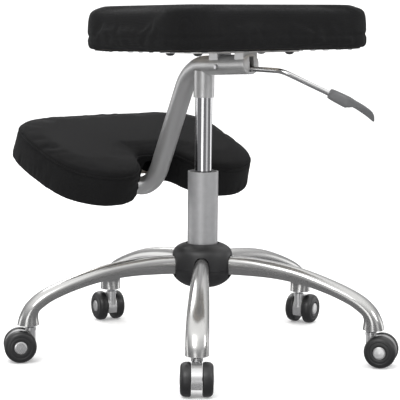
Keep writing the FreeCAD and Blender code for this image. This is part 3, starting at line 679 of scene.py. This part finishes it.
def make_wrap(name, outline, floor, place, start, reach, gap=None):
    """The cover's hem on the board's underside, pleated, and cut away where gap(point) is true."""
    profile = ((start, 0.5), (start + 1, -0.3), (start + 0.45 * reach, -1.1), (start + reach - 1, -0.8),
               (start + reach, 0.3))
    sections = [[] for point in outline]
    for inward, drop in profile:
        swing = smoothstep(start, start + reach, inward)
        for section, point in zip(sections, moved_in(outline, inward * MM)):
            pleat = noise.noise(Vector((point.x * 75, point.y * 75, 3.0)))
            edge = noise.noise(Vector((point.x * 28, point.y * 28, 9.0))) * 3 * MM
            lift = floor + (drop - 0.6 * max(0.0, pleat) * (0.4 + swing)) * MM
            section.append(point - point.normalized() * edge * swing + Z * lift)
    sections = [low + [p + Z * 0.7 * MM for p in reversed(low)] for low in sections]
    if gap:
        first = next(i for i, point in enumerate(outline) if gap(outline[i - 1]) and not gap(point))
        turned_round = list(zip(outline, sections))
        turned_round = turned_round[first:] + turned_round[:first]
        sections = [section for point, section in turned_round if not gap(point)]
    wrap = skin(name, sections, closed_path=not gap, sharp=80)
    wrap.data.transform(place)
    finish_piece(wrap, "upper", FABRIC)


def make_staples(name, outline, floor, place, inward, step, gap=None):
    """Wire staples that hold the hem, one every step along it."""
    bars = []
    path = even_spacing(moved_in(outline, inward * MM), step)
    for i, point in enumerate(path):
        if gap and gap(point):
            continue
        along = (path[(i + 1) % len(path)] - path[i - 1]).normalized()
        tilt = Matrix.Rotation(0.5 * noise.noise(Vector((i * 1.7, 0, 0))), 3, "Z") @ along
        ends = (point - tilt * 5 * MM, point + tilt * 5 * MM)
        low = Z * (floor - 2.0 * MM)
        high = Z * (floor - 0.4 * MM)
        path_points = [ends[0] + high, ends[0] + low, ends[1] + low, ends[1] + high]
        bars.append(pipe("bar", bent_path(path_points, 0.8 * MM, 3), 0.5 * MM, steps=6))
    staples = joined(name, bars)
    staples.data.transform(place)
    finish_piece(staples, "upper", STEEL)


def at_slot(point):
    """Whether a point of the hem would lie over the slot for the frame tube."""
    return abs(point.x) < 28 * MM and point.y > 50 * MM


make_wrap("SeatHem", seat_outline, -SEAT_DEEP, SEAT, 13, 22)
make_staples("SeatStaples", seat_outline, -SEAT_DEEP, SEAT, 26, 27 * MM)
make_wrap("KneeHem", knee_edge, -KNEE_DEEP, KNEE, 9, 16, at_slot)
make_staples("KneeStaples", knee_edge, -KNEE_DEEP, KNEE, 19, 27 * MM, at_slot)


# ---- legs ------------------------------------------------------------------------------------

LEG_CREST = ((38, 163), (92, 162), (161, 152.3), (221, 134.5), (268, 114.5), (293, 95), (305, 75),
             (309.5, 59))
LEG_BELLY = ((38, 128), (120, 127.5), (172, 121.5), (213, 111.1), (245, 99), (266, 88), (275.5, 77.5),
             (274.5, 59))
LEG_WALL = 2.6 * MM
LEG_HUB_HALF = 11.5 * MM
FOOT_HALF = 17.5 * MM
STEM_CIRCLE = 288 * MM
FIRST_LEG = 50.7


def leg_section(crest, belly, half, corner, gap):
    """A C-shaped wall: over the crest from one lip to the other and back along the inside."""
    middle = (crest + belly) / 2
    tall = (crest - belly) / 2
    wide = Vector((0, 1, 0))
    ring = []
    steps = 40
    for side, inset in ((0, 0.0), (1, LEG_WALL)):
        height = tall.normalized() * (tall.length - inset)
        walk = range(steps + 1) if side == 0 else range(steps, -1, -1)
        for k in walk:
            angle = math.radians(-90 + gap + (360 - 2 * gap) * k / steps)
            across = math.copysign(abs(math.cos(angle)) ** (2 / corner), math.cos(angle))
            up = math.copysign(abs(math.sin(angle)) ** (2 / corner), math.sin(angle))
            ring.append(middle + wide * across * (half - inset) + height * up)
    return ring


def make_leg(name):
    """One leg along its own X axis: narrow at the hub, a round hood over the caster's stem."""
    crest = curve_through([Vector((x, 0, z)) * MM for x, z in LEG_CREST], 9)
    belly = curve_through([Vector((x, 0, z)) * MM for x, z in LEG_BELLY], 9)
    rings = []
    for i, (high, low) in enumerate(zip(crest, belly)):
        share = i / (len(crest) - 1)
        reach = ((high + low) / 2).x / (292 * MM)
        half = LEG_HUB_HALF + (FOOT_HALF - LEG_HUB_HALF) * smoothstep(0.05, 1.0, reach)
        corner = 2.3 - 0.3 * smoothstep(0.55, 1.0, share)
        gap = 48 * (1 - smoothstep(0.6, 0.85, share)) + 0.5
        rings.append(leg_section(high, low, half, corner, gap))
    shell = skin(name + "_shell", rings, caps=True, sharp=50)
    socket = lathe(name + "_socket", rounded([(5.02, 58), (8, 58), (8, 85.5), (5.02, 85.5)], 0.6),
                   Matrix.Translation((STEM_CIRCLE, 0, 0)) @ Matrix.Scale(MM, 4))
    return joined(name, [shell, socket])


for number in range(1, LEGS + 1):
    leg = make_leg(f"Leg_{number}")
    leg.data.transform(Matrix.Rotation(math.radians(FIRST_LEG + 72 * (number - 1)), 4, "Z"))
    finish_piece(leg, "base", LEG_SILVER, f"leg_{number}")


# ---- hub covers ------------------------------------------------------------------------------

COVER_TOP = ((27.4, 182.5), (30, 182), (37, 179.4), (43.5, 175.4), (47.6, 170), (49.6, 162.5), (50.5, 152.5),
             (50.7, 140.85))
COVER_BOWL = ((50.7, 140.4), (50, 133.5), (46.8, 126.5), (41, 120), (33, 114.5), (26.2, 111.7))
COVER_WALL = 2.2
WINDOW_HALF = 12.6 * MM


def shell_profile(points):
    """The outer line eased into a curve, and the inner line a wall's thickness behind it."""
    outer = curve_through([Vector((r, 0, z)) for r, z in points], 6)
    inner = []
    for i, point in enumerate(outer):
        along = (outer[min(i + 1, len(outer) - 1)] - outer[max(i - 1, 0)]).normalized()
        inner.append(point + Vector((along.z, 0, -along.x)) * COVER_WALL)
    return [(p.x, p.z) for p in outer + inner[::-1]]


def window_tool(angle):
    """A rounded bar through the cover where a leg comes out."""
    rings = []
    for reach in (26 * MM, 75 * MM):
        ring = []
        for k in range(36):
            turn = 2 * math.pi * k / 36
            across = math.copysign(abs(math.cos(turn)) ** 0.8, math.cos(turn)) * WINDOW_HALF
            up = math.copysign(abs(math.sin(turn)) ** 0.8, math.sin(turn)) * 18.8 * MM
            ring.append(Matrix.Rotation(angle, 3, "Z") @ Vector((reach, across, 145.5 * MM + up)))
        rings.append(ring)
    return skin("window_tool", rings)


def make_cover(name, points, node):
    cover = lathe(name, shell_profile(points), Matrix.Scale(MM, 4), steps=160)
    for number in range(LEGS):
        tool = window_tool(math.radians(FIRST_LEG + 72 * number))
        applied(cover, "BOOLEAN", object=tool, operation="DIFFERENCE", solver="EXACT")
        bpy.data.objects.remove(tool)
    cover.data.set_sharp_from_angle(angle=math.radians(35))
    finish_piece(cover, "base", COVER_BLACK, node)


make_cover("HubCoverUpper", COVER_TOP, "hub_cover_upper")
make_cover("HubCoverLower", COVER_BOWL, "hub_cover_lower")


# ---- caster wheels ---------------------------------------------------------------------------

def wheel_profile():
    """Radius and distance from the inner face: soft tread, bulged shoulder, dished face, cap well."""
    shoulder = curve_through([Vector((26, 0, 3.2)), Vector((25.9, 0, 8.5)), Vector((24.6, 0, 12.8)),
                              Vector((21.8, 0, 15.6)), Vector((18.2, 0, 16.5))], 5)
    return ([(3.1, 0), (22.5, 0), (24.6, 0.5), (25.7, 1.6)] + [(p.x, p.z) for p in shoulder]
            + [(17.4, 16.1), (16.6, 16.1), (15.9, 16.5), (11.6, 16.5), (10.7, 16.1), (10.4, 15.1),
               (3.1, 15.1)])


def make_wheel(number, side):
    joint = JOINTS[f"caster_{number}_roll_{side}"]
    axle = Vector(joint["axis"]).normalized()
    centre = Vector(joint["pos_m"])
    node = f"caster_{number}_wheel_{side}"
    low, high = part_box(node)
    outward = axle if ((low + high) / 2 - centre).dot(axle) > 0 else -axle
    place = outward.to_track_quat("Z", "Y").to_matrix().to_4x4() @ Matrix.Scale(MM, 4)
    place.translation = centre + outward * 8.4 * MM
    wheel = lathe(f"Wheel_{number}_{side}", wheel_profile(), place, steps=96)
    finish_piece(wheel, f"caster_{number}_{side}_roller", WHEEL_BLACK, node)


for number in range(1, LEGS + 1):
    make_wheel(number, "left")
    make_wheel(number, "right")


# ---- lever handle ----------------------------------------------------------------------------

LEVER_TURN = math.radians(52)
LEVER_DROP = math.radians(25)
HANDLE_TOP = ((79.5, 0.5), (80.5, 6.5), (84, 8.6), (104, 9.4), (130, 8.8), (148, 6.0), (157, 0.5),
              (162, -7.5))
HANDLE_LOW = ((79.5, -0.5), (80.5, -5.5), (84, -7.8), (108, -9.2), (114, -8.2), (120, -4.4), (145, -6.5),
              (161, -10))
HANDLE_HALF = 14 * MM


def make_handle():
    """A hollow-backed paddle clipped on the rod: thick at the rod, then a blade with a rounded end."""
    turned_out = Matrix.Rotation(LEVER_TURN, 3, "Z") @ Vector((0, 1, 0))
    out = (turned_out * math.cos(LEVER_DROP) - Z * math.sin(LEVER_DROP)).normalized()
    level = Z.cross(out).normalized()
    place = Matrix((out, level, out.cross(level))).transposed().to_4x4()
    pivot = Vector(JOINTS["lever_pull"]["pos_m"])
    place.translation = Vector((0, 194 * MM, pivot.z))
    top = curve_through([Vector((x, 0, z)) * MM for x, z in HANDLE_TOP], 8)
    low = curve_through([Vector((x, 0, z)) * MM for x, z in HANDLE_LOW], 8)
    rings = []
    for high, under in zip(top, low):
        x = high.x / MM
        middle = (high + under) / 2
        tall = (high - under) / 2
        widening = 0.52 + 0.48 * smoothstep(82, 112, x)
        half = HANDLE_HALF * widening * math.sqrt(max(0.02, 1 - smoothstep(146, 163.5, x)))
        dish = 1.6 * MM * smoothstep(112, 126, x) * (1 - smoothstep(148, 160, x))
        ring = []
        for k in range(40):
            turn = 2 * math.pi * k / 40
            across = math.copysign(abs(math.cos(turn)) ** 0.45, math.cos(turn))
            up = math.copysign(abs(math.sin(turn)) ** 0.45, math.sin(turn))
            hollow = dish * (1 - across * across) * (1 if up > 0 else -1)
            ring.append(place @ (middle + Vector((0, across * half, 0)) + tall * up - Z * hollow))
        rings.append(ring)
    handle = skin("LeverHandle", rings, sharp=60)
    finish_piece(handle, "lever", HANDLE_GREY, "lever_handle")


make_handle()


# ---- carried-over CAD nodes ------------------------------------------------------------------

def paint(material, *names):
    for name in names:
        node = frame["nodes"][name]
        node.data.materials.clear()
        node.data.materials.append(material)
        for polygon in node.data.polygons:
            polygon.material_index = 0


numbers = range(1, LEGS + 1)
paint(LEG_SILVER, "hub_core")
paint(FRAME_SILVER, "frame_tube", "tube_socket", "seat_brackets", "seat_plate", "knee_plate")
paint(COLUMN_SILVER, "column_tube")
paint(CHROME, "gas_cylinder", "piston_rod")
paint(STEEL, "thrust_bearing", "retaining_clip", "release_button", "lever_pivot_pin",
      *[f"caster_{n}_axle" for n in numbers], *[f"caster_{n}_stem" for n in numbers])
paint(LEVER_STEEL, "lever_rod")
paint(CAP_SILVER, "end_cap")
paint(CASTER_SILVER, *[f"caster_{n}_body" for n in numbers], *[f"caster_{n}_axle_caps" for n in numbers])
paint(COVER_BLACK, "column_bushing")
paint(BOLT_BLACK, "seat_bolts", "knee_bolts")
paint(PLYWOOD, "seat_board", "knee_board")


# ---- floor, light and the end ----------------------------------------------------------------

def make_floor():
    nodes = Nodes("pale_floor").set(Roughness=0.9, Specular_IOR_Level=0.1)
    nodes.link(nodes.blend(nodes.noise(3, 2), (0.89, 0.89, 0.89), (0.91, 0.91, 0.91)), "Base Color")
    nodes.set(Emission_Color=(1, 1, 1, 1), Emission_Strength=0.22)
    mesh = bmesh.new()
    bmesh.ops.create_grid(mesh, x_segments=8, y_segments=8, size=200)
    floor = from_bmesh("floor", mesh)
    floor.location.z = -0.0005
    floor.visible_glossy = False
    floor.data.materials.append(nodes.material)


def soft_light(name, place, target, size, power):
    data = bpy.data.lights.new(name, "AREA")
    data.shape = "DISK"
    data.size = size
    data.energy = power
    light = bpy.data.objects.new(name, data)
    bpy.context.scene.collection.objects.link(light)
    light.location = place
    light.rotation_euler = (Vector(target) - Vector(place)).to_track_quat("-Z", "Y").to_euler()


SOFT_BOXES = ((36, 1.6), (100, 0.5), (172, 1.2), (238, 0.9), (305, 1.2))


def make_world():
    """A dim studio, brighter overhead, with upright soft boxes around it at (azimuth, strength)."""
    world = bpy.data.worlds.new("studio")
    bpy.context.scene.world = world
    world.use_nodes = True
    tree = world.node_tree
    background = tree.nodes["Background"]
    place = tree.nodes.new("ShaderNodeTexCoord")
    split = tree.nodes.new("ShaderNodeSeparateXYZ")
    tree.links.new(place.outputs["Generated"], split.inputs[0])
    ramp = tree.nodes.new("ShaderNodeValToRGB")
    ramp.color_ramp.elements[0].position = 0.0
    ramp.color_ramp.elements[0].color = (0.16, 0.16, 0.165, 1)
    ramp.color_ramp.elements[1].position = 0.8
    ramp.color_ramp.elements[1].color = (1, 1, 1, 1)
    middle = ramp.color_ramp.elements.new(0.3)
    middle.color = (0.34, 0.34, 0.345, 1)
    tree.links.new(split.outputs["Z"], ramp.inputs[0])
    level = ramp.outputs[0]
    for azimuth, strength in SOFT_BOXES:
        facing = tree.nodes.new("ShaderNodeVectorMath")
        facing.operation = "DOT_PRODUCT"
        tree.links.new(place.outputs["Generated"], facing.inputs[0])
        facing.inputs[1].default_value = (math.cos(math.radians(azimuth)), math.sin(math.radians(azimuth)), 0)
        strip = tree.nodes.new("ShaderNodeMapRange")
        strip.interpolation_type = "SMOOTHSTEP"
        tree.links.new(facing.outputs["Value"], strip.inputs["Value"])
        strip.inputs["From Min"].default_value = 0.955
        strip.inputs["From Max"].default_value = 0.995
        strip.inputs["To Max"].default_value = strength
        total = tree.nodes.new("ShaderNodeMix")
        total.data_type = "RGBA"
        total.blend_type = "ADD"
        total.inputs[0].default_value = 1.0
        tree.links.new(level, total.inputs[6])
        tree.links.new(strip.outputs["Result"], total.inputs[7])
        level = total.outputs[2]
    seen = tree.nodes.new("ShaderNodeLightPath")
    pale = tree.nodes.new("ShaderNodeMix")
    pale.data_type = "RGBA"
    pale.inputs[7].default_value = (0.72, 0.72, 0.72, 1)
    tree.links.new(seen.outputs["Is Camera Ray"], pale.inputs[0])
    tree.links.new(level, pale.inputs[6])
    tree.links.new(pale.outputs[2], background.inputs["Color"])
    background.inputs["Strength"].default_value = 1.5


make_floor()
make_world()
soft_light("key", (2.4, 1.4, 2.4), (0, 0, 0.3), 1.2, 45)
soft_light("fill", (-1.6, 2.6, 1.5), (0, 0, 0.25), 1.0, 18)
soft_light("front", (-0.6, -2.6, 2.2), (0, 0, 0.3), 1.4, 25)
